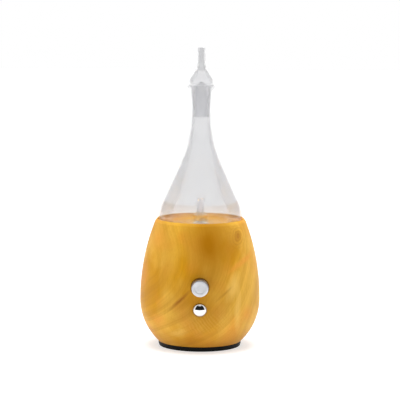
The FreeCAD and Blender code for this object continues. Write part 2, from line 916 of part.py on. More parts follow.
def light_button():
    axis = ("0", "0", "button_height")
    dome = (
        "((button_radius - 0.35)^2 + (button_dome - button_rim)^2)"
        " / (2 * (button_dome - button_rim))"
    )
    publish(
        "light_button",
        turned(
            [
                ("button_radius + 1.05", "web_depth - 1.4"),
                ("button_radius + 1.05", "web_depth - 0.3"),
                ("button_radius", "web_depth - 0.3"),
                ("button_radius", "button_rim - 0.4"),
                ("button_radius - 0.35", "button_rim", "arc", dome),
                ("0", "button_dome"),
                ("0", "web_depth - 1.5"),
                ("1.7", "web_depth - 1.5"),
                ("1.7", "button_rim - 1.6"),
                ("button_radius - 1", "button_rim - 1.6"),
                ("button_radius - 1", "web_depth - 1.4"),
            ],
            axis,
            TO_FRONT,
        ),
    )
    body = block("6", "3.5", "6", ("-3", "-(board_front + 3.5)", "button_height - 3"))
    bore = cylinder("1.8", "4", ("0", "-(board_front + 1.2)", "button_height"), TO_FRONT)
    publish("light_switch", cut(body, bore))
    publish(
        "switch_plunger",
        cylinder(
            "1.75",
            "web_depth - 1.5 - (board_front + 2.2)",
            ("0", "-(board_front + 2.2)", "button_height"),
            TO_FRONT,
        ),
    )


# ---------------------------------------------------------------- control board
def control_board():
    board = block(
        "2 * board_half_width",
        "board_front - board_back",
        "board_tall",
        ("-board_half_width", "-board_front", "board_low"),
    )
    holes = [cylinder("1.2", "4", (x, "-(board_back - 1)", z), TO_FRONT) for x, z in board_posts()]
    for x in ("-5", "0", "5"):
        holes.append(
            block("1.1", "4", "0.8", (f"{x} - 0.55", "-(board_front + 1)", "knob_height - 9.75"))
        )
    publish("control_board", cut(board, *holes))
    spacers = [
        cut(
            cylinder("2.3", "web_depth - board_front", (x, "-board_front", z), TO_FRONT),
            cylinder("1.2", "12", (x, "-(board_front - 1)", z), TO_FRONT),
        )
        for x, z in board_posts()
    ]
    publish("board_spacers", group(spacers))
    screws = [
        screw("2.1", "1.4", "1", "web_depth - board_back + 3", (x, "-board_back", z), TO_FRONT)
        for x, z in board_posts()
    ]
    publish("board_screws", group(screws))
    publish("timer_chip", block("7.6", "1.7", "5", ("-3.8", "-board_back", "42")))
    caps = [
        cylinder(radius, height, (x, "-board_back", z), TO_BACK)
        for radius, height, x, z in (("3.2", "8", "9", "52"), ("2.5", "6", "9.5", "44.5"))
    ]
    publish("capacitors", group(caps))
    headers = [
        block("6", "5.4", "4.6", (x, "-board_back", z))
        for x, z in (("-13.5", "36"), ("7.5", "36"), ("-13.5", "52"))
    ]
    publish("board_headers", group(headers))


# ---------------------------------------------------------------- power inlet on the back
def power_inlet():
    axis = ("0", "0", "inlet_height")
    publish(
        "inlet_socket",
        turned(
            [
                ("0", "33"),
                ("inlet_radius", "33"),
                ("inlet_radius", "inlet_floor"),
                ("5.7", "inlet_floor"),
                ("5.7", "inlet_floor + 1.6", "round", "0.5"),
                ("plug_socket_radius", "inlet_floor + 1.6"),
                ("plug_socket_radius", "37"),
                ("0", "37"),
            ],
            axis,
            TO_BACK,
        ),
    )
    publish(
        "inlet_pin",
        turned(
            [("0", "37"), ("1.05", "37"), ("1.05", "inlet_floor - 0.4"), ("0", "inlet_floor")],
            axis,
            TO_BACK,
        ),
    )
    nut = hexagon("11.5", "2.2", ("0", "inlet_web - 2.2", "inlet_height"), TO_BACK)
    bore = cylinder("inlet_radius + 0.05", "5", ("0", "inlet_web - 4", "inlet_height"), TO_BACK)
    publish("inlet_nut", cut(nut, bore))


# ---------------------------------------------------------------- leads inside the base
def leads():
    """Pairs of insulated leads from the board's headers to the motor, the lamps and the inlet."""
    wire = 0.65
    header = -mm("board_back") + 5.4
    motor = [
        [
            Vector(x, header, 38.2),
            Vector(x, header + 5, 38.2),
            Vector(x, header + 7, 18),
            Vector(end, -17, 6.7),
            Vector(end, mm("pump_offset") - 1.4, 6.7),
        ]
        for x, end in ((-12.0, -5.0), (-9.4, 5.0))
    ]
    under_board = mm("bracket_bottom") + 1.7
    lamps = [
        [
            Vector(x, header, 54.3),
            Vector(x, header + 4, 54.3),
            Vector(end, -24, 84),
            Vector(end, -22.5, under_board),
            Vector(end, -13.5, under_board),
        ]
        for x, end in ((-12.0, -0.9), (-9.4, 0.9))
    ]
    power = [
        [
            Vector(x, header, 38.3),
            Vector(x, header + 4, 38.3),
            Vector(side, -12, 36),
            Vector(side, turn, 32),
            Vector(end, turn + 6, 30),
            Vector(end, 33, 30),
        ]
        for x, side, turn, end in ((9.2, 22.0, 20.0, -1.6), (11.8, 24.5, 22.0, 1.6))
    ]
    for label, paths in (("motor_leads", motor), ("lamp_leads", lamps), ("power_leads", power)):
        pair = [swept(points, wire, 4) for points in paths]
        publish(label, shaped(Part.Compound(pair)))


# ---------------------------------------------------------------- glass
def glass_flask():
    inner_side = "glass_radius - glass_wall"
    flask = turned(
        [
            ("stem_bore", "stem_bottom"),
            ("stem_radius - 0.35", "stem_bottom"),
            ("stem_radius", "stem_bottom + 2"),
            ("stem_radius", "glass_bottom"),
            ("glass_radius", "glass_bottom", "round", "glass_corner"),
            ("glass_radius", "side_height", "round", "side_round"),
            ("neck_radius", "neck_height", "round", "neck_round"),
            ("neck_radius", "neck_top", "round", "60"),
            ("throat_radius", "throat_height", "round", "2.5"),
            ("lip_radius", "lip_under", "round", "0.45"),
            ("lip_radius", "lip_height", "round", "0.45"),
            ("lip_bore", "lip_height", "round", "0.5"),
            ("socket_mouth", "socket_top", "round", "1.5"),
            ("throat_corner", "throat_corner_height", "round", "neck_round - 10"),
            (inner_side, "side_height", "round", "side_round - glass_wall"),
            (inner_side, "glass_bottom + glass_wall", "round", "glass_corner - glass_wall"),
            ("stem_bore", "glass_bottom + glass_wall"),
        ]
    )
    publish("glass_flask", flask)


def flask_tubes():
    floor = "glass_bottom + glass_wall"
    sleeve = turned(
        [
            ("sleeve_flare - 1", floor),
            ("sleeve_flare", floor),
            ("sleeve_flare", "115.2", "round", "2.2"),
            ("sleeve_radius", "117.4", "round", "1.2"),
            ("sleeve_radius", "sleeve_top", "round", "1.2"),
            ("0.8", "sleeve_top"),
            ("0.8", "sleeve_top - 1"),
            ("sleeve_radius - 1", "sleeve_top - 1.6"),
            ("sleeve_radius - 1", "117.0"),
            ("sleeve_flare - 1", "114.7", "round", "1.2"),
        ]
    )
    inlets = cylinder("1", "20", ("0", "-10", f"{floor} + 1.3"), TO_BACK)
    publish("oil_sleeve", cut(sleeve, inlets))
    publish(
        "air_jet",
        turned(
            [
                ("0.9", "stem_bottom + 8"),
                ("jet_radius", "stem_bottom + 8"),
                ("jet_radius", "jet_top - 3.4", "round", "3"),
                ("0.75", "jet_top"),
                ("0.3", "jet_top"),
                ("0.9", "jet_top - 3.6"),
            ]
        ),
    )


def glass_stopper():
    taper = "(socket_mouth - throat_corner) / (socket_top - throat_corner_height)"
    plug_top = f"socket_mouth - plug_gap + {taper} * (lip_height - socket_top)"
    plug_foot = f"socket_mouth - plug_gap - {taper} * (socket_top - plug_bottom)"
    publish(
        "glass_stopper",
        turned(
            [
                ("spout_bore", "stopper_top"),
                ("spout_radius", "stopper_top", "round", "0.4"),
                ("spout_radius + 0.4", "spout_foot", "round", "8"),
                ("cap_radius - 0.3", "cap_shoulder", "round", "4"),
                ("cap_radius", "lip_height", "round", "0.4"),
                (plug_top, "lip_height"),
                (plug_foot, "plug_bottom", "round", "0.5"),
                ("5.6", "plug_bottom", "round", "0.4"),
                ("plug_top_bore", "lip_height", "round", "1.2"),
                ("4.6", "lip_height + 0.1", "round", "3"),
                ("1.1", "lip_height + 1.5"),
                ("1.1", "lip_height + 1.5 + cap_floor"),
                ("4.6", "lip_height + 0.1 + cap_floor", "round", "3"),
                ("cap_radius - 1.5", "lip_height + cap_floor", "round", "0.8"),
                ("cap_radius - 1.7", "cap_shoulder - 0.3", "round", "2.65"),
                ("spout_radius - 0.95", "spout_foot - 0.45", "round", "9.3"),
            ]
        ),
    )


def main():
    wood_housing()
    base_plate()
    foot_ring()
    base_screws()
    light_guide()
    stem_seal()
    lamp_ring()
    socket_bracket()
    pump_mounts()
    motor()
    motor_rotor()
    pump_head()
    air_hose()
    control_knob()
    potentiometer()
    light_button()
    control_board()
    power_inlet()
    leads()
    glass_flask()
    flask_tubes()
    glass_stopper()

    doc.recompute()
    failed = [o.Name for o in doc.Objects if {"Invalid", "Error"} & set(o.State)]
    bad = [p.Label for p in PARTS if p.Shape.isNull() or not p.Shape.isValid()]
    if failed or bad:
        raise RuntimeError(f"failed objects {failed}, bad shapes {bad}")
    os.makedirs("parts", exist_ok=True)
    for piece in PARTS:
        piece.Shape.exportStep(f"parts/{piece.Label}.step")
    print(len(PARTS), "sub-parts written")


main()
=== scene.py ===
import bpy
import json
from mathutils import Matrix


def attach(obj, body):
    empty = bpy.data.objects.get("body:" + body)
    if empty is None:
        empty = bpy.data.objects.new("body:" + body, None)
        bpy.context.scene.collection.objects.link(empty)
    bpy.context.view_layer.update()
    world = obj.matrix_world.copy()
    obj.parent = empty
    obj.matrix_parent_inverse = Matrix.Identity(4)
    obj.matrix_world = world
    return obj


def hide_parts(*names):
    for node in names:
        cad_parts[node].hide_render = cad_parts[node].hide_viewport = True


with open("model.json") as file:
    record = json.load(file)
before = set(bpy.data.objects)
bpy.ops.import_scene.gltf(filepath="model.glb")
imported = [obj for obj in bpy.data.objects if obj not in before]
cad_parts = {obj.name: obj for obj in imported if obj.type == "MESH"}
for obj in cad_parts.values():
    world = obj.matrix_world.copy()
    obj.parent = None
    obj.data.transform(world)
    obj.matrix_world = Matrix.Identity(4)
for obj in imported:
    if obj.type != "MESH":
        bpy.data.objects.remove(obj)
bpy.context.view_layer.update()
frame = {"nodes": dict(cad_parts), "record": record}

import json
import math

import bmesh
import bpy
from mathutils import Euler, Vector

# Lengths are in metres where nothing else is said. The front faces -Y.
MM = 0.001

# ---------------------------------------------------------------- glass outlines
# corners of closed outlines in mm, counter-clockwise: (r, z) or (r, z, rounding radius)
FLASK_OUTLINE = (
    (2.0, 96.0),
    (3.65, 96.0),
    (4.0, 98.0),
    (4.0, 108.6),
    (36.8, 108.6, 3.4),
    (36.8, 119.7, 33.0),
    (8.45, 182.0, 120.0),
    (8.45, 211.0, 60.0),
    (9.2, 222.9, 2.5),
    (12.8, 227.2, 0.45),
    (12.8, 228.4, 0.45),
    (10.3, 228.4, 0.5),
    (8.16, 225.2, 1.5),
    (6.29, 182.9, 110.0),
    (35.2, 119.7, 31.4),
    (35.2, 110.2, 1.8),
    (2.0, 110.2),
)
SLEEVE_OUTLINE = (
    (5.1, 110.2),
    (6.1, 110.2),
    (6.1, 115.2, 2.2),
    (3.4, 117.4, 1.2),
    (3.4, 129.4, 1.2),
    (0.8, 129.4),
    (0.8, 128.4),
    (2.4, 127.8),
    (2.4, 117.0),
    (5.1, 114.7, 1.2),
)
JET_OUTLINE = (
    (0.9, 104.0),
    (1.9, 104.0),
    (1.9, 123.6, 3.0),
    (0.75, 127.0),
    (0.3, 127.0),
    (0.9, 123.4),
)
STOPPER_OUTLINE = (
    (1.8, 261.2),
    (2.2, 244.75, 9.3),
    (9.5, 233.7, 2.65),
    (9.7, 229.75, 0.8),
    (4.6, 229.85, 3.0),
    (1.1, 231.25),
    (1.1, 229.9),
    (4.6, 228.5, 3.0),
    (6.75, 228.4, 1.2),
    (5.6, 201.0, 0.4),
    (6.85, 201.0, 0.5),
    (8.16, 228.4),
    (11.2, 228.4, 0.4),
    (10.9, 234.0, 4.0),
    (3.55, 245.2, 8.0),
    (3.15, 261.2, 0.4),
)
FLASK_TURNS, SLEEVE_TURNS, JET_TURNS, STOPPER_TURNS = 160, 96, 64, 128  # steps round each
FLASK_FLOOR_TOP = 110.8  # mm; the flask's faces under this are its stem and floor
PLUG_TOP = 228.6  # mm; the stopper's faces under this are its ground plug
POINTS_PER_RADIAN = 10 / 1.2  # along a rounded corner
FEWEST_POINTS = 3
SHARP = math.radians(32)  # edges that turn more than this stay sharp

# ---------------------------------------------------------------- wood colours, figure and painted shade
GOLD = (0.640, 0.300, 0.004)
PALE_GOLD = (0.760, 0.425, 0.050)
DEEP = (0.385, 0.150, 0.0005)
PALE = (0.820, 0.510, 0.110)
ORANGE = (0.760, 0.300, 0.035)
RUST = (0.330, 0.110, 0.006)
# place (x, z) and half sizes in mm, tilt in degrees, softness, strength, colour
FIGURE_AND_PAINTED_SHADE = (
    # the first two ovals are painted shade, darkening the middle of the front; the rest are stains
    # and figure
    ((6, 94), (27, 42), 0, 0.9, 1.0, DEEP),
    ((0, 42), (34, 34), 20, 0.9, 0.60, DEEP),
    ((26, 94), (14, 18), 0, 0.9, 0.35, DEEP),
    ((-27, 84), (8, 26), -8, 0.9, 0.50, PALE_GOLD),
    ((-37, 99), (9, 14), 0, 0.9, 0.55, ORANGE),
    ((36, 79), (18, 3.6), 36, 0.7, 0.60, ORANGE),
    ((28, 58), (7, 16), -18, 0.8, 0.70, PALE),
    ((34, 38), (3.2, 24), 3, 0.8, 0.55, PALE),
    ((-15, 45), (15, 4.5), 45, 0.9, 0.45, DEEP),
    ((-17.5, 47.5), (16, 2.0), 45, 0.9, 0.95, RUST),
    ((21, 53), (11, 1.5), 43, 0.9, 0.45, RUST),
    ((-36, 28), (9, 8), 0, 0.9, 0.60, ORANGE),
    ((42, 33), (8, 10), 0, 0.9, 0.55, ORANGE),
    ((-18, 18), (9, 5), 10, 0.8, 0.50, PALE),
    ((-6, 10), (15, 5), 12, 0.8, 0.50, DEEP),
)
RIPPLE = ((5, 27), (26, 12), 8, 0.7)  # where the fine ripple shows, in the same terms
RIPPLE_TILT = math.radians(34)
RIPPLE_SHARE = 0.16
FRONT = (-0.010, -0.026)  # the figure fades in between these y
MOST_RAG = 6.0  # mm, the most that an oval's outline wanders
KNOT_X, KNOT_Z = 32.5 * MM, 100.5 * MM
KNOT_NARROW = 1.45  # how much taller than wide it is
KNOT_RING = 0.0031  # from ring to ring
KNOT_EDGE = (0.0125, 0.004)  # its rings fade in between these distances
KNOT_CORE = (0.0050, 0.0015)  # and its heartwood between these
KNOT_PULL, PULL_FADE = 0.026, -95.0  # how far the growth lines bend round it, and how soon
HEART_X, HEART_Y = 0.080, -0.004  # the tree's heart: the growth lines curve round it
HEART_DEPTH = 0.8  # how much slower the lines pass along Y
HEART_DRIFT = 0.016
LEAN_TOP, LEAN = 0.086, 10.0  # below this height the lines lean over, by this times its square
RISE = 0.03  # how slowly the lines change along Z
PAINTED_FOOT_SHADE = (0.022, 0.004)  # painted shade: the wood darkens between these heights, towards the foot

# ---------------------------------------------------------------- glass, light and camera
GLASS_IOR = 1.45
STRAIGHT_IOR = 1.001  # so near 1 that it doesn't bend what is behind
KNOB_AXIS = (0.0, 0.0591)  # x, z
FLOOR_HALF = 4
FLOOR_GREYS = ((0.50, 0.50, 0.50), (0.52, 0.52, 0.52))
FLOOR_FADE = (0.2, 1.8)  # the floor's glow grows between these distances
FLOOR_GLOW = (0.62, 0.95)
# name, place, width and height, watts
LAMPS = (
    ("top", (0.0, 0.0, 1.6), (1.0, 1.0), 33),
    ("front", (-0.3, -1.7, 0.5), (1.2, 1.0), 1.0),
    ("left", (-1.5, -0.9, 0.4), (0.8, 1.0), 4.5),
    ("right", (1.5, -0.9, 0.4), (0.8, 1.0), 3.0),
)
LAMP_AIM = (0, 0, 0.1)
# the studio by direction: each pair is where a part of it begins and is full
STRIPS = (0.99, 0.95)  # how far to the side, of the level part
OVERHEAD = (0.985, 0.94)  # z
ROOM_SIDE = (0.0, -0.02)  # y
ROOM_FLOOR = (-0.04, 0.03)  # z
FLAG_SIDE = (0.2, 0.9)  # how far to the side, of the level part
FLAG_BACK = (0.05, 0.25)  # y
ROOM_LEVEL, FLAG_LEVEL = 0.02, 0.7
CAMERA_AT = (0.0, -1.8, 0.35)
CAMERA_AIM = (-0.0005, 0.0, 0.128)
CAMERA_ROLL = math.radians(0.4)
SENSOR_MM, LENS_MM = 36.0, 186.6


# ---------------------------------------------------------------- turned shapes
def rounded(corners):
    """The points in mm of a closed outline with its corners rounded."""
    points = []
    for i, corner in enumerate(corners):
        here = Vector(corner[:2])
        if len(corner) < 3:
            points.append(here)
            continue
        before = (Vector(corners[i - 1][:2]) - here).normalized()
        after = (Vector(corners[(i + 1) % len(corners)][:2]) - here).normalized()
        half = before.angle(after) / 2
        reach = corner[2] / math.tan(half)
        centre = here + (before + after).normalized() * (corner[2] / math.sin(half))
        start = here + before * reach - centre
        turn = start.angle_signed(here + after * reach - centre)
        count = max(FEWEST_POINTS, int(abs(turn) * POINTS_PER_RADIAN))
        for k in range(count + 1):
            cos, sin = math.cos(-turn * k / count), math.sin(-turn * k / count)
            spun = Vector((start.x * cos - start.y * sin, start.x * sin + start.y * cos))
            points.append(centre + spun)
    return points


def lathe(name, outline, turns):
    """A mesh turned about Z from a closed outline in mm."""
    shape = bmesh.new()
    angles = [2 * math.pi * k / turns for k in range(turns)]
    rings = [
        [shape.verts.new((r * MM * math.cos(a), r * MM * math.sin(a), z * MM)) for a in angles]
        for r, z in outline
    ]
    for i, low in enumerate(rings):
        high = rings[(i + 1) % len(rings)]
        for k in range(turns):
            j = (k + 1) % turns
            shape.faces.new((low[k], low[j], high[j], high[k]))
    bmesh.ops.recalc_face_normals(shape, faces=shape.faces)
    data = bpy.data.meshes.new(name)
    shape.to_mesh(data)
    shape.free()
    piece = bpy.data.objects.new(name, data)
    bpy.context.scene.collection.objects.link(piece)
    smooth(piece)
    return piece


def smooth(piece):
    """Smooth shading, with sharp edges kept."""
    piece.data.polygons.foreach_set("use_smooth", [True] * len(piece.data.polygons))
    piece.data.update()
    shape = bmesh.new()
    shape.from_mesh(piece.data)
    for edge in shape.edges:
        edge.smooth = len(edge.link_faces) == 2 and edge.calc_face_angle(0) < SHARP
    shape.to_mesh(piece.data)
    shape.free()


# ---------------------------------------------------------------- material nodes
class Shader:
    """A material with a Principled shader, and short ways to add nodes to it."""

    def __init__(self, name, **values):
        self.material = bpy.data.materials.new(name)
        self.material.use_nodes = True
        self.tree = self.material.node_tree
        self.shader = self.tree.nodes["Principled BSDF"]
        for socket, value in values.items():
            self.shader.inputs[socket.replace("_", " ")].default_value = value
        self.coordinates = None

    def add(self, kind, inputs=None, **settings):
        node = self.tree.nodes.new("ShaderNode" + kind)
        for setting, value in settings.items():
            setattr(node, setting, value)
        for key, value in (inputs or {}).items():
            self.feed(node.inputs[key], value)
        return node

    def feed(self, socket, value):
        if isinstance(value, bpy.types.NodeSocket):
            self.tree.links.new(value, socket)
        else:
            socket.default_value = value

    def set(self, socket, value):
        self.feed(self.shader.inputs[socket], value)

    def where(self):
        """Object coordinates, in metres: the row frame, because each piece sits at its origin."""
        if self.coordinates is None:
            self.coordinates = self.add("TexCoord").outputs["Object"]
        return self.coordinates

    def xyz(self):
        return self.add("SeparateXYZ", {0: self.where()}).outputs

    def stretched(self, scale, shift=(0, 0, 0), turn=(0, 0, 0)):
        inputs = {"Vector": self.where(), "Location": shift, "Rotation": turn, "Scale": scale}
        return self.add("Mapping", inputs).outputs[0]

    def math(self, operation, a, b=0.0):
        return self.add("Math", {0: a, 1: b}, operation=operation).outputs[0]

    def times(self, a, b):
        return self.math("MULTIPLY", a, b)

    def minus(self, a, b):
        return self.math("SUBTRACT", a, b)

    def total(self, a, b, share=1.0):
        return self.math("ADD", a, self.times(b, share))

    def length(self, a, b):
        return self.math("SQRT", self.total(self.times(a, a), self.times(b, b)))

    def noise(self, vector, scale, detail, rough=0.5):
        inputs = {"Vector": vector, "Scale": scale, "Detail": detail, "Roughness": rough}
        return self.add("TexNoise", inputs).outputs["Fac"]

    def spread(self, value, low, high, new_low=0.0, new_high=1.0):
        inputs = {"Value": value, "From Min": low, "From Max": high}
        inputs.update({"To Min": new_low, "To Max": new_high})
        return self.add("MapRange", inputs).outputs[0]

    def mix(self, factor, a, b):
        node = self.add("Mix", data_type="RGBA")
        for index, value in ((0, factor), (6, a), (7, b)):
            if isinstance(value, tuple) and len(value) == 3:
                value = (*value, 1)
            self.feed(node.inputs[index], value)
        return node.outputs[2]

    def bump(self, height, distance, strength):
        inputs = {"Height": height, "Distance": distance, "Strength": strength}
        self.set("Normal", self.add("Bump", inputs).outputs[0])


def wood_material():
    """Pale golden hardwood under a thin satin lacquer: growth lines that stand up at the left and
    lean over towards the foot, a knot to the right of the front, and stains and pale figure.
    Painted shade darkens the middle of the front and the foot."""
    s = Shader("turned_wood", Coat_Weight=0.05, Coat_Roughness=0.3, Specular_IOR_Level=0.15)
    x, y, z = s.xyz()
    where = s.where()
    front = s.spread(y, *FRONT)
    drift = s.minus(s.noise(where, 16.0, 2.0), 0.5)
    ragged = s.minus(s.noise(where, 130.0, 3.0, 0.6), 0.5)

    def blot(at, size, tilt, soft):
        """1 inside a ragged, soft-edged oval on the front; all in mm, tilt in degrees."""
        rag = min(MOST_RAG, size[1] * 1.3) * MM
        dx = s.minus(s.total(x, drift, 3 * rag), at[0] * MM)
        dz = s.total(s.minus(z, at[1] * MM), ragged, rag)
        cos, sin = math.cos(math.radians(tilt)), math.sin(math.radians(tilt))
        along = s.math("DIVIDE", s.total(s.times(dx, cos), dz, sin), size[0] * MM)
        across = s.math("DIVIDE", s.total(s.times(dz, cos), dx, -sin), size[1] * MM)
        return s.times(s.spread(s.length(along, across), 1.0, 1.0 - soft), front)

    # the knot, a branch that runs straight in from the surface
    knot_x = s.times(s.minus(x, KNOT_X), KNOT_NARROW)
    knot_far = s.total(s.length(knot_x, s.minus(z, KNOT_Z)), ragged, 0.0045)
    pull = s.times(s.math("POWER", math.e, s.times(knot_far, PULL_FADE)), front)
    # distance from the tree's heart, off to the right and behind
    below = s.math("MAXIMUM", s.minus(LEAN_TOP, z), 0.0)
    lean = s.times(s.times(below, below), LEAN)
    across = s.total(s.total(s.minus(x, HEART_X), lean), drift, HEART_DRIFT)
    depth = s.times(s.minus(y, HEART_Y), HEART_DEPTH)
    heart = s.total(s.length(across, depth), pull, KNOT_PULL)
    ring_at = s.add("CombineXYZ", {0: heart, 1: s.times(z, RISE)}).outputs[0]
    rings = s.noise(ring_at, 620.0, 2.0, 0.6)
    bands = s.noise(ring_at, 75.0, 2.0, 0.55)
    patches = s.noise(s.stretched((1.0, 1.0, 0.6), (0.31, 0.12, 0.05)), 30.0, 3.0, 0.55)
    blush = s.noise(s.stretched((1.0, 1.0, 0.8), (0.7, 0.2, 0.4)), 34.0, 2.0)
    colour = s.mix(s.spread(patches, 0.42, 0.60), GOLD, PALE_GOLD)
    colour = s.mix(s.spread(blush, 0.52, 0.70, 0.0, 0.55), colour, ORANGE)
    colour = s.mix(s.spread(bands, 0.42, 0.70, 0.0, 0.40), colour, DEEP)
    colour = s.mix(s.spread(rings, 0.42, 0.72, 0.0, 0.24), colour, DEEP)
    # stains and figure, and the painted shade of the first two ovals
    for at, size, tilt, soft, share, tone in FIGURE_AND_PAINTED_SHADE:
        colour = s.mix(s.times(blot(at, size, tilt, soft), share), colour, tone)
    # rings and heartwood of the knot
    turns = s.math("SINE", s.times(knot_far, 2 * math.pi / KNOT_RING))
    fade = s.times(s.spread(knot_far, *KNOT_EDGE), front)
    colour = s.mix(s.times(s.spread(turns, -0.2, 1.0, 0.0, 0.36), fade), colour, RUST)
    colour = s.mix(s.times(s.spread(knot_far, *KNOT_CORE, 0.0, 0.45), front), colour, RUST)
    # fibre, drawn out up the wood
    fibre = s.noise(s.stretched((1.0, 1.0, 0.05)), 1400.0, 2.0, 0.6)
    colour = s.mix(s.spread(fibre, 0.45, 0.75, 0.0, 0.20), colour, DEEP)
    # fine ripple across the lower front
    ripple_at = s.stretched((1.0, 0.4, 1.0), turn=(0, RIPPLE_TILT, 0))
    inputs = {"Vector": ripple_at, "Scale": 120.0, "Distortion": 6.0, "Detail": 2.0}
    ripple = s.add("TexWave", inputs, bands_direction="X").outputs["Fac"]
    colour = s.mix(s.times(ripple, s.times(blot(*RIPPLE), RIPPLE_SHARE)), colour, PALE)
    # painted shade: the wood is darker towards the foot
    colour = s.mix(s.spread(z, *PAINTED_FOOT_SHADE, 0.0, 0.55), colour, DEEP)
    s.set("Base Color", colour)
    s.set("Roughness", s.spread(fibre, 0.3, 0.7, 0.46, 0.56))
    s.bump(fibre, 0.00006, 0.5)
    return s.material


def glass_material(name, pass_on, body, nested=False):
    """Thin grey glass: pass_on is what each surface lets through, and body is how much of it bends
    and mirrors. The rest goes straight on, by a refraction that doesn't bend, because a ray may
    pass only a few transparent surfaces; a nested piece is behind other glass and uses one of
    those instead. Lamps and soft light pass through to what stands behind."""
    tint = (pass_on * 0.995, pass_on * 0.995, pass_on, 1)
    s = Shader(name, Base_Color=tint, Roughness=0.0, IOR=GLASS_IOR, Transmission_Weight=1.0)
    s.bump(s.noise(s.where(), 60.0, 2.0), 0.00005, 0.15)
    clear = s.add("BsdfTransparent").outputs[0]
    path = s.add("LightPath").outputs
    if nested:
        straight = s.add("BsdfTransparent", {"Color": tint})
    else:
        inputs = {"Color": tint, "Roughness": 0.0, "IOR": STRAIGHT_IOR}
        straight = s.add("BsdfRefraction", inputs)
    inputs = {0: body, 1: straight.outputs[0], 2: s.shader.outputs[0]}
    shown = s.add("MixShader", inputs).outputs[0]
    for ray in ("Is Shadow Ray", "Is Diffuse Ray"):
        shown = s.add("MixShader", {0: path[ray], 1: shown, 2: clear}).outputs[0]
    s.feed(s.tree.nodes["Material Output"].inputs["Surface"], shown)
    return s.material


def metal_material(name, colour, rough, turned_about=None, grain=0.0):
    """Metal with faint smudges, and fine lathe lines where it is turned about an axis (x, z)."""
    s = Shader(name, Metallic=1.0)
    smudge = s.noise(s.where(), 180.0, 3.0)
    darker = tuple(c * 0.93 for c in colour)
    s.set("Base Color", s.mix(s.spread(smudge, 0.3, 0.75), colour, darker))
    s.set("Roughness", s.spread(smudge, 0.3, 0.7, rough * 0.85, rough * 1.2))
    if turned_about:
        x, _, z = s.xyz()
        far = s.length(s.minus(x, turned_about[0]), s.minus(z, turned_about[1]))
        lines = s.noise(s.add("CombineXYZ", {0: far}).outputs[0], 9000.0, 2.0)
        s.bump(lines, 0.00002, grain)
    return s.material


def plastic_material(name, colour, rough, mottle=0.12, scale=900.0, depth=0.00003, **values):
    """Moulded plastic or rubber with a fine spark-eroded grain and slight colour drift."""
    s = Shader(name, **values)
    grain = s.noise(s.where(), scale, 3.0)
    drift = s.noise(s.where(), 45.0, 2.0)
    darker = tuple(c * (1 - mottle) for c in colour)
    s.set("Base Color", s.mix(s.spread(drift, 0.3, 0.7), colour, darker))
    s.set("Roughness", s.spread(grain, 0.3, 0.7, rough * 0.9, rough * 1.1))
    s.bump(grain, depth, 0.5)
    return s.material


def foam_material():
    """Black open-celled foam."""
    s = Shader("foam", Roughness=0.95)
    cells = s.add("TexVoronoi", {"Vector": s.where(), "Scale": 900.0}).outputs["Distance"]
    shade = s.mix(s.spread(cells, 0.1, 0.6), (0.006, 0.006, 0.007), (0.035, 0.035, 0.038))
    s.set("Base Color", shade)
    s.bump(cells, 0.0003, 0.8)
    return s.material


def paint(target, material):
    """Gives an object one material all over."""
    if not target.material_slots:
        target.data.materials.append(material)
    for material_slot in target.material_slots:
        material_slot.material = material


# ---------------------------------------------------------------- materials
STEEL = metal_material("zinc_steel", (0.58, 0.58, 0.57), 0.34)
WOOD = wood_material()
FLASK_GLASS = glass_material("flask_glass", 0.84, 0.18)
CLEAR_GLASS = glass_material("clear_glass", 0.975, 0.25)
STOPPER_GLASS = glass_material("stopper_glass", 0.86, 0.18)
PLUG_GLASS = glass_material("ground_plug_glass", 0.945, 0.2)
SLEEVE_GLASS = glass_material("sleeve_glass", 0.985, 0.3)
JET_GLASS = glass_material("jet_glass", 0.99, 0.2, nested=True)
BLACK = (0.005, 0.005, 0.005)
FOOT_BLACK = (0.005, 0.0045, 0.0045)
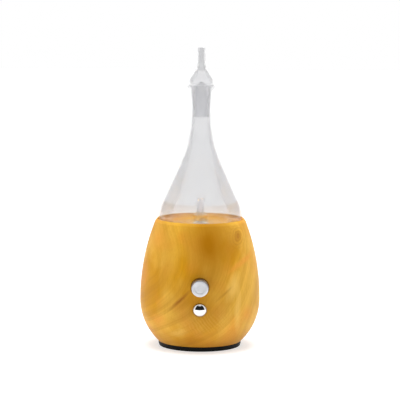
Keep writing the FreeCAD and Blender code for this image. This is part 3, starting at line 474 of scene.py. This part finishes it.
# each of the record's material slots, with what its CAD pieces are painted with
FINISHES = {
    "wood": WOOD,
    "flask_glass": FLASK_GLASS,
    "stopper_glass": STOPPER_GLASS,
    "screw_steel": STEEL,
    "motor_steel": STEEL,
    "foam": foam_material(),
    "brass_parts": metal_material("brass", (0.74, 0.55, 0.24), 0.3),
    "copper_wire": metal_material("copper_wire", (0.68, 0.30, 0.14), 0.35),
    "can_aluminium": metal_material("aluminium", (0.80, 0.81, 0.82), 0.3),
    "button_chrome": metal_material("chrome", (0.82, 0.82, 0.83), 0.025),
    "knob_metal": metal_material("satin_knob", (0.64, 0.65, 0.67), 0.4, KNOB_AXIS, 0.2),
    "black_plastic": plastic_material("black_plastic", BLACK, 0.5, Specular_IOR_Level=0.12),
    "foot_rubber": plastic_material(
        "foot_rubber", FOOT_BLACK, 0.8, depth=0.00008, Specular_IOR_Level=0.2
    ),
    "white_silicone": plastic_material(
        "silicone", (0.78, 0.79, 0.78), 0.5, 0.05, Subsurface_Weight=0.3
    ),
    "clear_acrylic": plastic_material(
        "light_guide", (0.92, 0.94, 0.95), 0.2, 0.04, Subsurface_Weight=0.4
    ),
    "grey_silicone": plastic_material("grey_silicone", (0.13, 0.13, 0.14), 0.7),
    "black_rubber": plastic_material("black_rubber", (0.02, 0.02, 0.02), 0.7),
    "white_board": plastic_material("white_board", (0.80, 0.80, 0.77), 0.4, 0.05),
    "white_nylon": plastic_material("nylon", (0.74, 0.72, 0.64), 0.5, 0.08),
    "pump_plastic": plastic_material("pump_plastic", (0.03, 0.03, 0.033), 0.5),
    "lamp_resin": plastic_material("lamp_resin", (0.88, 0.80, 0.45), 0.25, 0.1),
    "ferrite": plastic_material("ferrite", (0.03, 0.03, 0.032), 0.6),
    "green_board": plastic_material("green_board", (0.010, 0.085, 0.026), 0.35, 0.3, 500.0),
    "chip_black": plastic_material("chip", (0.012, 0.012, 0.013), 0.5),
    "lead_red": plastic_material("red_lead", (0.42, 0.012, 0.010), 0.4),
    "lead_white": plastic_material("white_lead", (0.76, 0.76, 0.74), 0.4),
    "lead_black": plastic_material("black_lead", (0.015, 0.015, 0.015), 0.4),
}
for entry in frame["record"]["subparts"]:
    paint(frame["nodes"][entry["node"]], FINISHES[entry["material_slot"]])


# ---------------------------------------------------------------- glass, turned finely
def put(piece, node, body, material):
    """Paints a piece and stands it in for a CAD node."""
    paint(piece, material)
    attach(piece, body)
    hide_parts(node)


def repaint_below(height, piece, material):
    """Gives the faces that lie wholly below a height in mm a second material."""
    piece.data.materials.append(material)
    for face in piece.data.polygons:
        top = max(piece.data.vertices[v].co.z for v in face.vertices)
        face.material_index = int(top / MM < height)


flask = lathe("flask_blown", rounded(FLASK_OUTLINE), FLASK_TURNS)
put(flask, "glass_flask", "flask", FLASK_GLASS)
repaint_below(FLASK_FLOOR_TOP, flask, CLEAR_GLASS)
sleeve = lathe("sleeve_drawn", rounded(SLEEVE_OUTLINE), SLEEVE_TURNS)
put(sleeve, "oil_sleeve", "flask", SLEEVE_GLASS)
jet = lathe("jet_drawn", rounded(JET_OUTLINE), JET_TURNS)
put(jet, "air_jet", "flask", JET_GLASS)
stopper = lathe("stopper_blown", rounded(STOPPER_OUTLINE), STOPPER_TURNS)
put(stopper, "glass_stopper", "stopper", STOPPER_GLASS)
repaint_below(PLUG_TOP, stopper, PLUG_GLASS)


# ---------------------------------------------------------------- floor, light and camera
def stage_plane():
    """A pale paper floor that glows a little, more so further away."""
    data = bpy.data.meshes.new("floor")
    h = FLOOR_HALF
    data.from_pydata([(-h, -h, 0), (h, -h, 0), (h, h, 0), (-h, h, 0)], [], [(0, 1, 2, 3)])
    floor = bpy.data.objects.new("floor", data)
    bpy.context.scene.collection.objects.link(floor)
    s = Shader("floor_paper", Roughness=0.9, Specular_IOR_Level=0.1)
    s.set("Base Color", s.mix(s.noise(s.where(), 3.0, 2.0), *FLOOR_GREYS))
    s.set("Emission Color", (1, 1, 1, 1))
    x, y, _ = s.xyz()
    s.set("Emission Strength", s.spread(s.length(x, y), *FLOOR_FADE, *FLOOR_GLOW))
    data.materials.append(s.material)


def lamp(name, at, size, power):
    """A rectangular lamp. Gloss and glass don't show it: they pick up the studio instead."""
    data = bpy.data.lights.new(name, "AREA")
    data.shape = "RECTANGLE"
    data.size, data.size_y = size
    data.energy = power
    light = bpy.data.objects.new(name, data)
    light.location = at
    light.rotation_euler = (Vector(LAMP_AIM) - Vector(at)).to_track_quat("-Z", "Y").to_euler()
    light.visible_glossy = False
    light.visible_transmission = False
    bpy.context.scene.collection.objects.link(light)


def surroundings():
    """A pale studio: white all round for the camera, dimmer at the sides for what the glass
    and the chrome pick up."""
    world = bpy.data.worlds.new("studio")
    bpy.context.scene.world = world
    world.use_nodes = True
    tree = world.node_tree
    tree.nodes.clear()

    def add(kind, inputs=None, **settings):
        node = tree.nodes.new("ShaderNode" + kind)
        for setting, value in settings.items():
            setattr(node, setting, value)
        for key, value in (inputs or {}).items():
            if isinstance(value, bpy.types.NodeSocket):
                tree.links.new(value, node.inputs[key])
            else:
                node.inputs[key].default_value = value
        return node

    def sums(operation, a, b=0.0):
        return add("Math", {0: a, 1: b}, operation=operation).outputs[0]

    def step(value, low, high, bottom=0.0, top=1.0):
        inputs = {"Value": value, "From Min": low, "From Max": high}
        inputs.update({"To Min": bottom, "To Max": top})
        return add("MapRange", inputs, interpolation_type="SMOOTHSTEP").outputs[0]

    x, y, z = add("SeparateXYZ", {0: add("TexCoord").outputs["Generated"]}).outputs
    level_part = sums("SQRT", sums("SUBTRACT", 1.0001, sums("MULTIPLY", z, z)))
    side = sums("DIVIDE", sums("ABSOLUTE", x), level_part)
    # the dark of the room behind the camera, between two strip lights and under the overhead one
    room = sums("MULTIPLY", step(side, *STRIPS), step(z, *OVERHEAD))
    room = sums("MULTIPLY", room, step(y, *ROOM_SIDE))
    room = sums("MULTIPLY", room, step(z, *ROOM_FLOOR))
    # only for what the chrome mirrors: seen through glass there is no dark room
    path = add("LightPath").outputs
    room = sums("MULTIPLY", room, step(path["Transmission Depth"], 1.0, 0.0))
    # grey flags at both sides, a little behind, that draw the glass's edges
    flags = sums("MULTIPLY", step(side, *FLAG_SIDE), step(y, *FLAG_BACK))
    dark = step(room, 0.0, 1.0, 1.0, ROOM_LEVEL)
    level = sums("MULTIPLY", dark, step(flags, 0.0, 1.0, 1.0, FLAG_LEVEL))
    inputs = {0: path["Is Camera Ray"], 2: level, 3: 1.0}
    strength = add("Mix", inputs, data_type="FLOAT").outputs[0]
    backdrop = add("Background", {"Color": (1, 1, 1, 1), "Strength": strength})
    add("OutputWorld", {"Surface": backdrop.outputs[0]})


stage_plane()
surroundings()
for name, at, size, power in LAMPS:
    lamp(name, at, size, power)

camera_data = bpy.data.cameras.new("camera")
camera_data.sensor_width = SENSOR_MM
camera_data.lens = LENS_MM
camera = bpy.data.objects.new("camera", camera_data)
camera.location = CAMERA_AT
aim = (Vector(CAMERA_AIM) - Vector(CAMERA_AT)).to_track_quat("-Z", "Y")
camera.rotation_mode = "QUATERNION"
camera.rotation_quaternion = aim @ Euler((0, 0, CAMERA_ROLL)).to_quaternion()
bpy.context.scene.collection.objects.link(camera)
bpy.context.scene.camera = camera
bpy.context.scene.view_settings.view_transform = "Standard"
